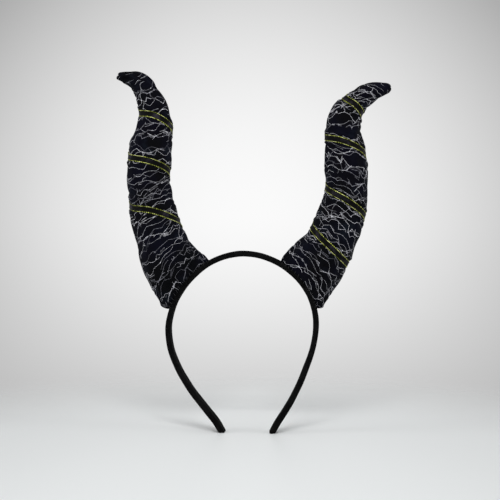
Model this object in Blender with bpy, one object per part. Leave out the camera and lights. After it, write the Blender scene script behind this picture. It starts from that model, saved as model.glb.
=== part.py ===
"""Devil horns headband: a slim cloth-covered band, two stuffed cloth horns sewn on it, and a ribbon round each.

Units are metres, +Z up, +X to the right of someone who faces the front, +Y to the back.
The origin is on the floor between the two band ends, in the middle of the overall width.
"""

import bpy
import numpy as np

MM = 0.001

# Gap between each horn's seam and the band, so that each stays a solid of its own.
SEAM_GAP = 0.3 * MM

# Band: a flat strip bent into an arch. Depth is its size from front to back.
BAND_DEPTH = 12.0 * MM
BAND_CORNER = 1.5 * MM
CORNER_TURNS = (15, 45, 75)
BAND_STEPS = 58
FOOT_ROUND = 0.8 * MM
FOOT_WIDTH = 4.4 * MM

# The strip's middle line from the right end, over the head, to the left end.
# Columns: x across, z up, thickness. Millimetres.
BAND_ROWS = (
    (16.2, 0.0, 5.2),
    (19.8, 7.0, 5.2),
    (28.0, 20.0, 5.2),
    (37.5, 38.0, 5.0),
    (44.2, 54.5, 4.8),
    (50.5, 74.5, 4.6),
    (52.1, 95.5, 4.6),
    (46.2, 116.0, 4.6),
    (33.8, 132.2, 4.6),
    (14.8, 144.4, 4.6),
    (-9.0, 149.0, 4.6),
    (-33.3, 142.6, 4.6),
    (-52.1, 128.0, 4.6),
    (-64.8, 109.0, 4.6),
    (-70.3, 88.0, 4.6),
    (-68.0, 68.0, 4.8),
    (-61.0, 51.0, 4.8),
    (-50.9, 34.4, 5.0),
    (-37.9, 17.8, 5.2),
    (-29.2, 6.4, 5.2),
    (-25.6, 0.0, 5.2),
)

# Horns: one row for each section, from just above the band to the tip.
# Columns: x and z of its middle, lean (degrees that its outer edge dips below level),
# width across the front, depth from front to back, bow (how far its front and back
# middles stand above its edges, along the horn), pleat (depth of the gathers). Millimetres.
LEFT_HORN_ROWS = (
    (-58.9, 127.2, 50.0, 54.0, 21.0, 5.6, 1.0),
    (-63.4, 132.4, 46.0, 51.0, 29.0, 3.6, 1.1),
    (-68.4, 140.3, 42.5, 48.4, 33.5, 2.0, 0.7),
    (-74.8, 153.6, 36.8, 45.6, 35.5, 1.0, 0.0),
    (-81.0, 171.6, 30.0, 41.4, 35.5, 0.4, 0.0),
    (-84.8, 186.6, 24.0, 38.4, 35.0, 0.0, 0.0),
    (-86.6, 204.0, 16.0, 35.8, 34.0, 0.0, 0.0),
    (-86.2, 223.0, 7.5, 35.6, 33.0, 0.0, 0.0),
    (-83.8, 243.0, 2.0, 33.6, 31.5, 0.0, 0.0),
    (-81.2, 258.0, 1.0, 27.6, 27.0, 0.0, 0.0),
    (-82.8, 270.4, 6.5, 24.2, 24.0, 0.0, 0.0),
    (-86.6, 279.6, 13.0, 21.4, 21.0, 0.0, 0.0),
    (-92.8, 288.4, 21.0, 17.6, 17.0, 0.0, 0.3),
    (-100.4, 293.8, 36.0, 14.4, 13.5, 0.0, 0.3),
    (-106.6, 295.4, 52.0, 11.0, 11.0, 0.0, 0.2),
    (-110.8, 295.6, 64.0, 6.6, 7.0, 0.0, 0.0),
)
LEFT_TIP = (-112.5, 295.6)

RIGHT_HORN_ROWS = (
    (42.2, 127.2, 54.0, 53.0, 21.0, 5.4, 0.6),
    (46.9, 132.8, 51.0, 51.0, 29.0, 3.6, 0.7),
    (51.6, 139.2, 49.0, 48.8, 33.5, 2.0, 0.5),
    (59.2, 151.2, 46.4, 44.6, 35.5, 1.0, 0.0),
    (66.4, 165.0, 42.4, 40.8, 35.5, 0.4, 0.0),
    (71.6, 179.0, 33.8, 37.6, 35.0, 0.0, 0.0),
    (75.4, 196.0, 23.6, 36.2, 34.5, 0.0, 0.0),
    (76.5, 215.6, 15.0, 35.0, 33.5, 0.0, 0.0),
    (75.4, 233.6, 7.6, 32.4, 31.5, 0.0, 0.0),
    (73.6, 248.4, 4.0, 28.4, 28.5, 0.0, 0.0),
    (74.6, 260.2, 7.0, 25.6, 25.5, 0.0, 0.0),
    (79.6, 269.6, 14.0, 23.8, 23.0, 0.0, 0.0),
    (87.6, 277.4, 18.5, 20.6, 20.0, 0.0, 0.0),
    (96.6, 282.5, 27.0, 17.2, 16.5, 0.0, 0.2),
    (103.4, 285.0, 35.0, 13.2, 13.0, 0.0, 0.2),
    (108.8, 286.0, 47.0, 8.2, 8.4, 0.0, 0.0),
)
RIGHT_TIP = (112.5, 285.2)

# Where each horn's seam meets the band: x and z near the band's outer face, inner end first.
LEFT_SEAM = ((-38.5, 147.5), (-72.8, 104.0))
RIGHT_SEAM = ((25.0, 146.5), (54.0, 104.5))
SEAM_DEPTH = 11.4 * MM
SEAM_SEARCH_STEPS = 2000

HORN_SIDES = 32
HORN_RINGS = 38
HORN_PLEATS = 8

# Ribbon wound round each horn. Columns: turn (degrees round the horn from its outer edge,
# the front at 90 and the inner edge at 180), run (distance along the horn). Millimetres.
RIBBON_WIDTH = 5.2 * MM
RIBBON_THICK = 0.9 * MM
RIBBON_GAP = 0.4 * MM
RIBBON_STEPS = 120
LEFT_RIBBON_ROWS = (
    (-120.0, 157.0),
    (20.0, 145.0),
    (90.0, 142.0),
    (180.0, 130.0),
    (370.0, 110.0),
    (450.0, 104.5),
    (540.0, 91.0),
    (750.0, 72.0),
    (805.0, 65.0),
    (890.0, 43.0),
    (975.0, 33.0),
)
RIGHT_RIBBON_ROWS = (
    (235.0, 164.0),
    (134.0, 158.0),
    (90.0, 155.5),
    (28.0, 149.0),
    (-196.0, 125.0),
    (-257.0, 123.5),
    (-340.0, 116.0),
    (-558.0, 78.0),
    (-640.0, 75.0),
    (-718.0, 69.5),
    (-916.0, 36.5),
    (-1065.0, 35.5),
    (-1150.0, 33.0),
)

COLLECTION = "devil_horns_headband"

# Small steps that give the direction of a curve or a skin.
LENGTH_NUDGE = 0.1 * MM
TURN_NUDGE = 0.01

# Edges that turn by more than this are shaded sharp, degrees.
SHARP_ANGLE = 40.0


def through(places, values, at):
    """A smooth curve through the values that stand at these places: cubic pieces whose slopes follow the neighbours."""
    slopes = np.gradient(values, places, axis=0)
    first = np.clip(np.searchsorted(places, at, side="right") - 1, 0, len(places) - 2)
    span = (places[first + 1] - places[first])[:, None]
    t = (at - places[first])[:, None] / span
    return (
        values[first] * (2 * t**3 - 3 * t**2 + 1)
        + slopes[first] * span * (t**3 - 2 * t**2 + t)
        + values[first + 1] * (3 * t**2 - 2 * t**3)
        + slopes[first + 1] * span * (t**3 - t**2)
    )


def distances(points):
    """How far along a line each of its points lies."""
    steps = np.hypot(*np.diff(points, axis=0).T)
    return np.concatenate([[0.0], np.cumsum(steps)])


def unit(vectors):
    return vectors / np.linalg.norm(vectors, axis=-1, keepdims=True)


def band_line(at):
    """Middle, outward direction and thickness of the band at each distance from its right end."""
    rows = np.array(BAND_ROWS) * MM
    places = distances(rows[:, :2])
    values = through(places, rows, at)
    ahead = through(places, rows, at + LENGTH_NUDGE)
    behind = through(places, rows, at - LENGTH_NUDGE)
    along = unit(ahead[:, :2] - behind[:, :2])
    outward = np.stack([along[:, 1], -along[:, 0]], axis=1)
    return values[:, :2], outward, values[:, 2]


def band_length():
    return distances(np.array(BAND_ROWS)[:, :2] * MM)[-1]


def band_section():
    """Corners of the strip's rounded section: the sides they lie on, and how far each is drawn in by the rounding."""
    turns = np.radians([quarter + turn for quarter in (0, 90, 180, 270) for turn in CORNER_TURNS])
    corners = np.stack([np.cos(turns), np.sin(turns)], axis=1)
    side = np.sign(corners)
    return side, corners - side


def band_mesh():
    """The strip carried along its line, its two ends cut level with the floor."""
    places = np.linspace(0.0, band_length(), BAND_STEPS)
    middle, outward, thick = band_line(places)
    side, rounding = band_section()
    rings = []
    for index in range(BAND_STEPS):
        across = side[:, 0] * thick[index] / 2 + rounding[:, 0] * BAND_CORNER
        back = side[:, 1] * BAND_DEPTH / 2 + rounding[:, 1] * BAND_CORNER
        place = middle[index] + across[:, None] * outward[index]
        rings.append(np.column_stack([place[:, 0], back, place[:, 1]]))
    right_foot = [foot_ring(middle[0, 0], 1.0, height) for height in (0.0, FOOT_ROUND)]
    left_foot = [foot_ring(middle[-1, 0], -1.0, height) for height in (FOOT_ROUND, 0.0)]
    return [*right_foot, *rings[1:-1], *left_foot]


def foot_ring(x, sense, height):
    """The strip's end, level with the floor: it widens by as much as it rises, which rounds its edge."""
    side, rounding = band_section()
    across = side[:, 0] * (FOOT_WIDTH / 2 + height) + rounding[:, 0] * BAND_CORNER
    back = side[:, 1] * (BAND_DEPTH / 2 - FOOT_ROUND + height) + rounding[:, 1] * BAND_CORNER
    return np.column_stack([x + sense * across, back, np.full(len(across), height)])


def horn_rows(rows):
    """The section table in metres and radians, and how far along the horn each row lies."""
    table = np.array(rows) * MM
    table[:, 2] = np.radians(np.array(rows)[:, 2])
    return distances(table[:, :2]), table


def horn_surface(rows, side, run, turn):
    """Points of the horn's skin at distances along it and turns round it, from its outer edge by the front."""
    places, table = horn_rows(rows)
    x, z, lean, width, depth, bow, pleat = through(places, table, run).T
    swell = pleat * np.cos(HORN_PLEATS * turn)
    out = (width / 2 + swell) * np.cos(turn)
    rise = bow * np.sin(turn) ** 2
    return np.stack(
        [
            x + side * (out * np.cos(lean) + rise * np.sin(lean)),
            -(depth / 2 + swell) * np.sin(turn),
            z - out * np.sin(lean) + rise * np.cos(lean),
        ],
        axis=-1,
    )


def nearest_run(point):
    """Distance along the band whose middle is nearest to this point."""
    places = np.linspace(0.0, band_length(), SEAM_SEARCH_STEPS)
    middle = band_line(places)[0]
    gap = np.linalg.norm(middle - np.array(point) * MM, axis=1)
    return places[np.argmin(gap)]


def seam_ring(seam, turn):
    """The leaf-shaped seam that lies on the band's outer face, a gap clear of it."""
    inner, outer = (nearest_run(point) for point in seam)
    run = (inner + outer) / 2 + (outer - inner) / 2 * np.cos(turn)
    middle, outward, thick = band_line(run)
    place = middle + (thick / 2 + SEAM_GAP)[:, None] * outward
    return np.column_stack([place[:, 0], -SEAM_DEPTH / 2 * np.sin(turn), place[:, 1]])


def horn_mesh(rows, side, seam, tip):
    """Rings from the seam to the tip, a strip that closes the seam and a fan that closes the tip."""
    turn = np.linspace(0.0, 2 * np.pi, HORN_SIDES, endpoint=False)
    places = horn_rows(rows)[0]
    rings = [seam_ring(seam, turn)]
    for run in np.linspace(0.0, places[-1], HORN_RINGS):
        rings.append(horn_surface(rows, side, np.full(HORN_SIDES, run), turn))
    points = np.concatenate([*rings, [[tip[0] * MM, 0.0, tip[1] * MM]]])
    faces = tube_faces(len(rings), HORN_SIDES)
    last = (len(rings) - 1) * HORN_SIDES
    for index in range(HORN_SIDES):
        faces.append((last + index, last + (index + 1) % HORN_SIDES, len(points) - 1))
    for index in range(HORN_SIDES // 2):
        mirrored = (HORN_SIDES - index) % HORN_SIDES
        face = (index + 1, index, mirrored, HORN_SIDES - index - 1)
        faces.append(tuple(dict.fromkeys(face)))
    return points, faces


def winding(helix):
    """Turns from the lowest up, and the distance along the horn at each."""
    table = np.array(helix)
    table = table[np.argsort(table[:, 0])]
    turns = np.linspace(*np.radians(table[[0, -1], 0]), RIBBON_STEPS)
    return turns, through(np.radians(table[:, 0]), table[:, 1:] * MM, turns)[:, 0]


def ribbon_mesh(rows, side, helix):
    """A thin strip laid on the horn along its winding, a gap clear of the skin."""
    turns, runs = winding(helix)
    here = horn_surface(rows, side, runs, turns)
    by_turn = (horn_surface(rows, side, runs, turns + TURN_NUDGE) - here) / TURN_NUDGE
    by_run = (horn_surface(rows, side, runs + LENGTH_NUDGE, turns) - here) / LENGTH_NUDGE
    along = unit(by_turn + by_run * np.gradient(runs, turns)[:, None])
    places, table = horn_rows(rows)
    middle = through(places, table, runs)
    away = here - np.column_stack([middle[:, 0], np.zeros(len(runs)), middle[:, 1]])
    out = unit(np.cross(by_run, by_turn))
    out *= np.sign(np.einsum("ij,ij->i", out, away))[:, None]
    across = np.cross(out, along)
    skin = np.stack([by_run, by_turn], axis=-1)
    strip = []
    for sense, lift in ((-1, 0.0), (1, 0.0), (1, RIBBON_THICK), (-1, RIBBON_THICK)):
        shift = sense * RIBBON_WIDTH / 2 * across
        moved = np.stack([np.linalg.lstsq(s, t, rcond=None)[0] for s, t in zip(skin, shift)])
        edge = horn_surface(rows, side, runs + moved[:, 0], turns + moved[:, 1])
        strip.append(edge + (RIBBON_GAP + lift) * out)
    rings = np.stack(strip, axis=1)
    return rings.reshape(-1, 3), capped_faces(len(rings), len(strip))


def tube_faces(rings, sides):
    faces = []
    for ring in range(rings - 1):
        for index in range(sides):
            nearby = (index + 1) % sides
            faces.append(
                (
                    ring * sides + index,
                    ring * sides + nearby,
                    (ring + 1) * sides + nearby,
                    (ring + 1) * sides + index,
                )
            )
    return faces


def capped_faces(rings, sides):
    last = (rings - 1) * sides
    ends = [tuple(range(sides))[::-1], tuple(range(last, last + sides))]
    return tube_faces(rings, sides) + ends


def make_material(name, colour, roughness, metallic=0.0):
    material = bpy.data.materials.new(name)
    material.use_nodes = True
    shader = material.node_tree.nodes["Principled BSDF"]
    shader.inputs["Base Color"].default_value = (*colour, 1.0)
    shader.inputs["Roughness"].default_value = roughness
    shader.inputs["Metallic"].default_value = metallic
    return material


def make_object(name, points, faces, material, collection):
    """A closed mesh with its faces pointing out, shaded smooth except over sharp edges."""
    mesh = bpy.data.meshes.new(name)
    mesh.from_pydata(np.asarray(points).tolist(), [], faces)
    mesh.validate()
    corners = np.empty(len(mesh.vertices) * 3)
    mesh.vertices.foreach_get("co", corners)
    corners = corners.reshape(-1, 3)
    mesh.calc_loop_triangles()
    triangles = np.empty(len(mesh.loop_triangles) * 3, dtype=np.int32)
    mesh.loop_triangles.foreach_get("vertices", triangles)
    if np.linalg.det(corners[triangles.reshape(-1, 3)]).sum() < 0:
        mesh.flip_normals()
    mesh.materials.append(material)
    mesh.shade_smooth()
    mesh.set_sharp_from_angle(angle=np.radians(SHARP_ANGLE))
    made = bpy.data.objects.new(name, mesh)
    collection.objects.link(made)
    return made


def build():
    for item in list(bpy.data.objects):
        bpy.data.objects.remove(item)
    collection = bpy.data.collections.new(COLLECTION)
    bpy.context.scene.collection.children.link(collection)

    velvet = make_material("black_velvet", (0.006, 0.006, 0.006), 0.95)
    cloth = make_material("printed_cloth", (0.018, 0.018, 0.024), 0.85)
    satin = make_material("black_satin_ribbon", (0.03, 0.028, 0.035), 0.5)

    rings = band_mesh()
    points = np.concatenate(rings)
    make_object("headband", points, capped_faces(len(rings), len(rings[0])), velvet, collection)
    for name, rows, side, seam, tip, helix in (
        ("left", LEFT_HORN_ROWS, -1, LEFT_SEAM, LEFT_TIP, LEFT_RIBBON_ROWS),
        ("right", RIGHT_HORN_ROWS, 1, RIGHT_SEAM, RIGHT_TIP, RIGHT_RIBBON_ROWS),
    ):
        make_object("horn_" + name, *horn_mesh(rows, side, seam, tip), cloth, collection)
        make_object("ribbon_" + name, *ribbon_mesh(rows, side, helix), satin, collection)


build()
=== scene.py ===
import cmath
import math

import bpy
import numpy as np
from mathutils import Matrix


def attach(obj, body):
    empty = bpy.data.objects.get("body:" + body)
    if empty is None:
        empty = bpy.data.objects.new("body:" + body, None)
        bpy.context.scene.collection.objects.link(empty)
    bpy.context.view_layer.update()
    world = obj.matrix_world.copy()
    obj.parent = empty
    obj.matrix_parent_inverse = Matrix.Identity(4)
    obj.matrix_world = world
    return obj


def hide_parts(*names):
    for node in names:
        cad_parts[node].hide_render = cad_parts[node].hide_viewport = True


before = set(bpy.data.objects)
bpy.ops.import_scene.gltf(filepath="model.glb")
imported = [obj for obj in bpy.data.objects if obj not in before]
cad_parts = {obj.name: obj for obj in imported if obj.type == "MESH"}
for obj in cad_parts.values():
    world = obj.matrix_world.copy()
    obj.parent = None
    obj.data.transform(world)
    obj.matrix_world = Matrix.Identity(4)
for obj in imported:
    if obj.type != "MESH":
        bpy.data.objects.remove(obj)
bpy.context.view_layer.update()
print("frame loaded, nodes:", ", ".join(sorted(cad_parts)))
scene = bpy.context.scene
scene.view_settings.view_transform = "Standard"  # plain tones, as a product photograph has

mm = 0.001


# Shader maths and materials


def mathSign(operation, swapped=False):
    # the method that adds one Math node for a sign
    def method(self, *others):
        terms = (*others, self) if swapped else (self, *others)
        return self.recipe.node("Math", dict(enumerate(terms)), operation=operation)

    return method


class Wire:
    # One shader socket that works in sums: wire + 1, 1 - wire, wire * other each add a Math node.
    def __init__(self, recipe, socket):
        self.recipe = recipe
        self.socket = socket

    __add__ = mathSign("ADD")
    __radd__ = mathSign("ADD", swapped=True)
    __sub__ = mathSign("SUBTRACT")
    __rsub__ = mathSign("SUBTRACT", swapped=True)
    __mul__ = mathSign("MULTIPLY")
    __rmul__ = mathSign("MULTIPLY", swapped=True)
    __truediv__ = mathSign("DIVIDE")
    __pow__ = mathSign("POWER")
    __abs__ = mathSign("ABSOLUTE")
    sine = mathSign("SINE")
    arcSine = mathSign("ARCSINE")
    arcTangent = mathSign("ARCTAN2")
    least = mathSign("MINIMUM")
    most = mathSign("MAXIMUM")

    def rising(self, low, high):
        # 0 below low, 1 above high, a smooth slope between; high may be the smaller one
        ends = {"Value": self, "From Min": low, "From Max": high}
        return self.recipe.node("MapRange", ends, interpolation_type="SMOOTHSTEP")


class Recipe:
    # One node tree. Every node in it is made by node().
    def __init__(self, tree):
        self.tree = tree
        tree.nodes.clear()

    def node(self, kind, sockets=None, output=0, **settings):
        # settings first, then the values or wires of its sockets
        made = self.tree.nodes.new("ShaderNode" + kind)
        for name, value in settings.items():
            setattr(made, name, value)
        for name, value in (sockets or {}).items():
            if isinstance(value, Wire):
                self.tree.links.new(value.socket, made.inputs[name])
            elif isinstance(value, tuple) and len(value) == 3 and made.inputs[name].type == "RGBA":
                made.inputs[name].default_value = (*value, 1.0)
            else:
                made.inputs[name].default_value = value
        return Wire(self, made.outputs[output]) if len(made.outputs) else None

    def blend(self, share, first, second):
        # one colour turns into another as share goes from 0 to 1
        return self.node("Mix", {0: share, 6: first, 7: second}, 2, data_type="RGBA")

    def split(self, vector):
        made = self.node("SeparateXYZ", {0: vector})
        return [Wire(self, output) for output in made.socket.node.outputs]

    def noise(self, place, size, detail):
        # smooth random values about 0.5; size is that of one blotch in metres
        return self.node("TexNoise", {"Vector": place, "Scale": 1 / size, "Detail": detail})

    def blotches(self, place, size, detail, low, high):
        # 0 where the noise is below low, 1 where it is above high
        return self.noise(place, size, detail).rising(low, high)

    def place(self):
        return self.node("TexCoord", None, "Object")

    def attribute(self, name, output="Fac"):
        return self.node("Attribute", None, output, attribute_name=name)

    def finish(self, look, colour, roughness, height, metallic=0.0):
        # the look's own sockets and these; its bump is a depth in mm and a strength
        depth, strength = look["bump"]
        bump = {"Height": height, "Distance": depth * mm, "Strength": strength}
        normal = self.node("Bump", bump)
        sockets = {"Base Color": colour, "Roughness": roughness, "Metallic": metallic, "Normal": normal}
        shader = self.node("BsdfPrincipled", sockets | look["shader"])
        self.node("OutputMaterial", {"Surface": shader})


def newRecipe(name):
    material = bpy.data.materials.new(name)
    material.use_nodes = True
    return material, Recipe(material.node_tree)


def printedCloth(look):
    # Near-black cotton with navy patches and a plain weave, printed with thin silver-grey lines.
    # Its UV map is the flat cloth: u and v times flatSize give millimetres. inkOffset holds the step to
    # the nearest printed line and its length, ink that line's half width and shade. The step's length
    # stays exact between mesh points; the stored one hides places halfway between two lines.
    material, recipe = newRecipe("horn_printed_cloth")
    place = recipe.place()
    across, along, _ = recipe.split(recipe.node("UVMap", uv_map="cloth"))
    thread = math.pi * look["flatSize"] / look["threadPitch"]
    weft = (across * thread).sine()
    warp = (along * thread).sine()
    weave = weft * warp
    cloth = recipe.blend(recipe.blotches(place, *look["patches"]), look["black"], look["navy"])
    cloth = recipe.blend(recipe.blotches(place, *look["fade"]) * 0.6, cloth, look["worn"])
    cloth = recipe.blend((weave * 0.5 + 0.5) * 0.35, cloth, (0.0, 0.0, 0.0))
    stepAcross, stepAlong, stored = recipe.split(recipe.attribute("inkOffset", "Vector"))
    halfWidth, shade, _ = recipe.split(recipe.attribute("ink", "Vector"))
    gap = (stepAcross * stepAcross + stepAlong * stepAlong) ** 0.5 - halfWidth
    inked = gap.rising(*look["inkEdge"]) * stored.rising(*look["inkReach"])
    inked = inked * (0.6 + 0.4 * recipe.blotches(place, *look["speckle"]))
    inked = inked * (0.55 + 0.45 * recipe.blotches(place, *look["glint"]))
    ink = recipe.blend(shade, look["inkDark"], look["inkLight"])
    height = weave * 0.5 + recipe.noise(place, *look["crumple"]) * 1.6 + inked * 0.5
    recipe.finish(look, recipe.blend(inked, cloth, ink), 0.86 - inked * 0.3, height)
    return material


def blackVelvet(look):
    # Short black pile: matt, with painted sheen: a faint grey bloom where the pile lies over.
    material, recipe = newRecipe("band_black_velvet")
    place = recipe.place()
    pile = recipe.noise(place, *look["pile"])
    brushed = recipe.blotches(place, *look["brushed"])
    # painted sheen: where the pile lies over, the colour turns a lighter grey
    colour = recipe.blend(brushed, look["deepColour"], look["paintedBloomColour"])
    colour = recipe.blend(pile.rising(0.45, 0.75) * 0.6, colour, look["tipColour"])
    colour = recipe.blend(recipe.blotches(place, *look["lint"]) * 0.4, colour, look["lintColour"])
    recipe.finish(look, colour, 0.88 + brushed * 0.1, pile + brushed * 0.4)
    return material


def satinRibbon(look):
    # Black satin with fine lengthwise floats, olive beside the edges, a twisted metallic thread on
    # each edge, and painted sheen: blotches of lighter violet-grey satin stand in for its highlights.
    # ribbonAcross goes from -1 to 1 between its edges, ribbonAlong is its length in mm.
    material, recipe = newRecipe("ribbon_satin_metallic_edge")
    place = recipe.place()
    side = recipe.attribute("ribbonAcross")
    along = recipe.attribute("ribbonAlong")
    edge = abs(side)
    thread = edge.rising(*look["threadEdge"])
    twist = (along * (2 * math.pi / look["twistPitch"]) + side * 9.0).sine() * 0.5 + 0.5
    worn = recipe.noise(place, *look["worn"])
    metal = recipe.blend(twist.rising(0.2, 0.75), look["threadDark"], look["threadLight"])
    metal = recipe.blend(worn.rising(0.5, 0.66) * 0.6, metal, look["threadPale"])
    metal = recipe.blend(worn.rising(0.52, 0.40) * 0.75, metal, look["olive"])
    floats = (side * look["floats"]).sine() * 0.5 + 0.5
    # painted sheen: lighter satin in blotches stands in for the highlights of the light on the satin
    satin = recipe.blend(recipe.blotches(place, *look["sheen"]), look["satinDark"], look["satinPaintedSheen"])
    satin = recipe.blend(edge.rising(0.35, 0.8) * 0.8, satin, look["olive"])
    satin = recipe.blend(floats * 0.25, satin, (0.0, 0.0, 0.0))
    roughness = 0.44 - thread * 0.10 + worn * 0.12
    height = floats * 0.35 + twist * thread * 1.6
    recipe.finish(look, recipe.blend(thread, satin, metal), roughness, height, thread * 0.75)
    return material


def sewingThread(look):
    material, recipe = newRecipe("black_sewing_thread")
    ply = (recipe.attribute("threadAlong") * (2 * math.pi / look["plyPitch"])).sine() * 0.5 + 0.5
    recipe.finish(look, recipe.blend(ply, look["dark"], look["light"]), 0.62 + ply * 0.1, ply)
    return material


# Shapes shared by the pieces


def hermite(start, leave, end, arrive, t):
    # cubic from start to end that sets off along leave and comes in along arrive, t from 0 to 1
    return (
        start * (2 * t**3 - 3 * t**2 + 1)
        + leave * (t**3 - 2 * t**2 + t)
        + end * (3 * t**2 - 2 * t**3)
        + arrive * (t**3 - t**2)
    )


def through(places, values, at):
    # Smooth curve through rows of values: cubic pieces whose slopes follow the neighbouring rows.
    slopes = np.gradient(values, places, axis=0)
    first = np.clip(np.searchsorted(places, at, side="right") - 1, 0, len(places) - 2)
    span = (places[first + 1] - places[first])[..., None]
    t = (at - places[first])[..., None] / span
    return hermite(values[first], slopes[first] * span, values[first + 1], slopes[first + 1] * span, t)


def distances(points):
    # how far along a line each of its points lies
    steps = np.linalg.norm(np.diff(points, axis=0), axis=1)
    return np.concatenate([[0.0], np.cumsum(steps)])


def unit(vectors):
    return vectors / np.maximum(np.linalg.norm(vectors, axis=-1, keepdims=True), 1e-12)


def smoothStep(low, high, value):
    # 0 up to low, 1 from high, 3t² - 2t³ between
    t = np.clip((value - low) / (high - low), 0.0, 1.0)
    return t * t * (3 - 2 * t)


def cellCorners(grid):
    # the four corners of each cell of a grid, in order round it
    return np.stack([grid[:-1, :-1], grid[:-1, 1:], grid[1:, 1:], grid[1:, :-1]], axis=2)


def gridFaces(rows, columns):
    # quads between neighbouring points of a closed grid, whose last column meets its first
    index = np.arange(rows * columns).reshape(rows, columns)
    return cellCorners(np.concatenate([index, index[:, :1]], axis=1)).reshape(-1, 4)


def tubeFaces(rows, columns):
    # the quads of a closed grid and the two faces that close its ends
    count = rows * columns
    return gridFaces(rows, columns), [list(range(columns))[::-1], list(range(count - columns, count))]


def gridUv(u, v):
    # the same quads' corners on the flat cloth; u and v are grids with the closing column repeated
    return cellCorners(np.stack([u, v], axis=-1)).reshape(-1, 4, 2)


def stripUv(length, columns, width):
    # flat map of a strip: u from 0 to width round it, v from 0 to 1 along it
    u = np.broadcast_to(np.linspace(0.0, width, columns + 1), (len(length), columns + 1))
    return gridUv(u, np.broadcast_to((length / length[-1])[:, None], u.shape))


def addObject(name, data):
    made = bpy.data.objects.new(name, data)
    scene.collection.objects.link(made)
    return made


def addMesh(name, points, faces):
    mesh = bpy.data.meshes.new(name)
    mesh.from_pydata(points.reshape(-1, 3).tolist(), [], faces)
    return addObject(name, mesh), mesh


def makePiece(name, points, quads, material, stands, extra=(), uv=None, values=None):
    # Quads from a grid and a few extra faces become one mesh whose faces point outwards.
    points = np.asarray(points).reshape(-1, 3)
    centred = points[quads] - points.mean(axis=0)
    volume = np.einsum("ij,ij->", centred[:, 0], np.cross(centred[:, 1], centred[:, 2]))
    volume += np.einsum("ij,ij->", centred[:, 0], np.cross(centred[:, 2], centred[:, 3]))
    faces = quads.tolist() + [list(face) for face in extra]
    corners = None if uv is None else uv.reshape(-1, 2)
    if volume < 0:
        faces = [face[::-1] for face in faces]
        corners = None if uv is None else uv[:, ::-1].reshape(-1, 2)
    piece, mesh = addMesh(name, points, faces)
    if corners is not None:
        layer = mesh.uv_layers.new(name="cloth")
        filled = np.full((len(mesh.loops), 2), 0.5)
        filled[: len(corners)] = corners
        layer.data.foreach_set("uv", filled.ravel())
    for label, numbers in (values or {}).items():
        numbers = np.asarray(numbers, dtype=np.float32)
        vector = numbers.shape[-1] == 3 and numbers.size == points.size
        attribute = mesh.attributes.new(label, "FLOAT_VECTOR" if vector else "FLOAT", "POINT")
        attribute.data.foreach_set("vector" if vector else "value", numbers.ravel())
    mesh.materials.append(material)
    mesh.shade_smooth()
    mesh.update()
    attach(piece, "root")
    if stands:
        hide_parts(stands)
    print(name, len(faces), "faces")
    return piece


def tubesAlong(paths, radius, sides):
    # Each path (count, points, 3) gets a round section: centre + radius·(cos a · side + sin a · up).
    # The ends draw in to a third, so that a thread's end looks cut and soft.
    ahead = unit(np.gradient(paths, axis=1))
    side = unit(np.cross(ahead, np.array([0.13, 0.31, 0.94])))
    up = np.cross(ahead, side)
    a = np.linspace(0.0, 2 * np.pi, sides, endpoint=False)
    t = np.linspace(-1.0, 1.0, paths.shape[1])
    thick = radius * (0.35 + 0.65 * np.sqrt(1 - t**4))[None, :, None, None]
    ring = side[:, :, None] * np.cos(a)[:, None] + up[:, :, None] * np.sin(a)[:, None]
    points = paths[:, :, None] + thick * ring
    quads, ends = tubeFaces(paths.shape[1], sides)
    starts = np.arange(len(paths)) * paths.shape[1] * sides
    faces = (quads[None] + starts[:, None, None]).reshape(-1, 4)
    caps = [[corner + start for corner in end] for start in starts for end in ends]
    along = np.broadcast_to(distances(paths[0])[None, :, None], points.shape[:3]) / mm
    return points.reshape(-1, 3), faces, caps, along


# Camera at the photograph's angle

photoCamera = {
    "place": (0.0623, -0.9027, 0.2010),
    "tilt": 86.9,  # degrees up from straight down
    "yaw": 4.1,
    "lens": 79.03,
    "sensor": 36.0,
}


def addCamera(view):
    data = bpy.data.cameras.new("photo_camera")
    data.lens = view["lens"]
    data.sensor_width = view["sensor"]
    camera = addObject("photo_camera", data)
    camera.location = view["place"]
    camera.rotation_euler = (math.radians(view["tilt"]), 0.0, math.radians(view["yaw"]))
    scene.camera = camera


addCamera(photoCamera)
print("camera placed")


# Floor, backdrop and lights

studio = {
    "floorRadius": 0.75,
    "floorGrid": (15, 96),
    "floorMiddle": (0.0, -0.16),
    "floorSolid": 0.24,  # the floor fades into the backdrop between these two distances
    "floorGone": 0.50,
    "floorColour": (0.835, 0.858, 0.862),
    # painted shade on the floor, standing in for the lights' falloff to each side
    "floorPaintedShade": (0.04, 0.26, 0.10),  # darker by the last share between these distances to each side
    "floorGrain": (0.0006, 1.0),
    "floorShader": {"Roughness": 0.42, "Specular IOR Level": 0.35},
    "lobeAzimuth": -4.1,  # brightest part of the backdrop, degrees from straight behind
    "lobeHeight": -1.3,
    "lobeLevel": 250.0,  # on a scale of 0 to 255
    "sideFall": 43.0,
    "sideLow": 0.62,  # share of the side fall that is gone at the bottom, and added at the top
    "sideHigh": 0.16,
    "sideSpan": 13.2,
    "sideEnds": (16.0, 45.0),  # beyond these degrees the backdrop is even all round
    "upFall": 32.0,
    "upSpan": 10.7,
    "downFall": 46.0,
    "downSpan": 9.5,
}


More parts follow.
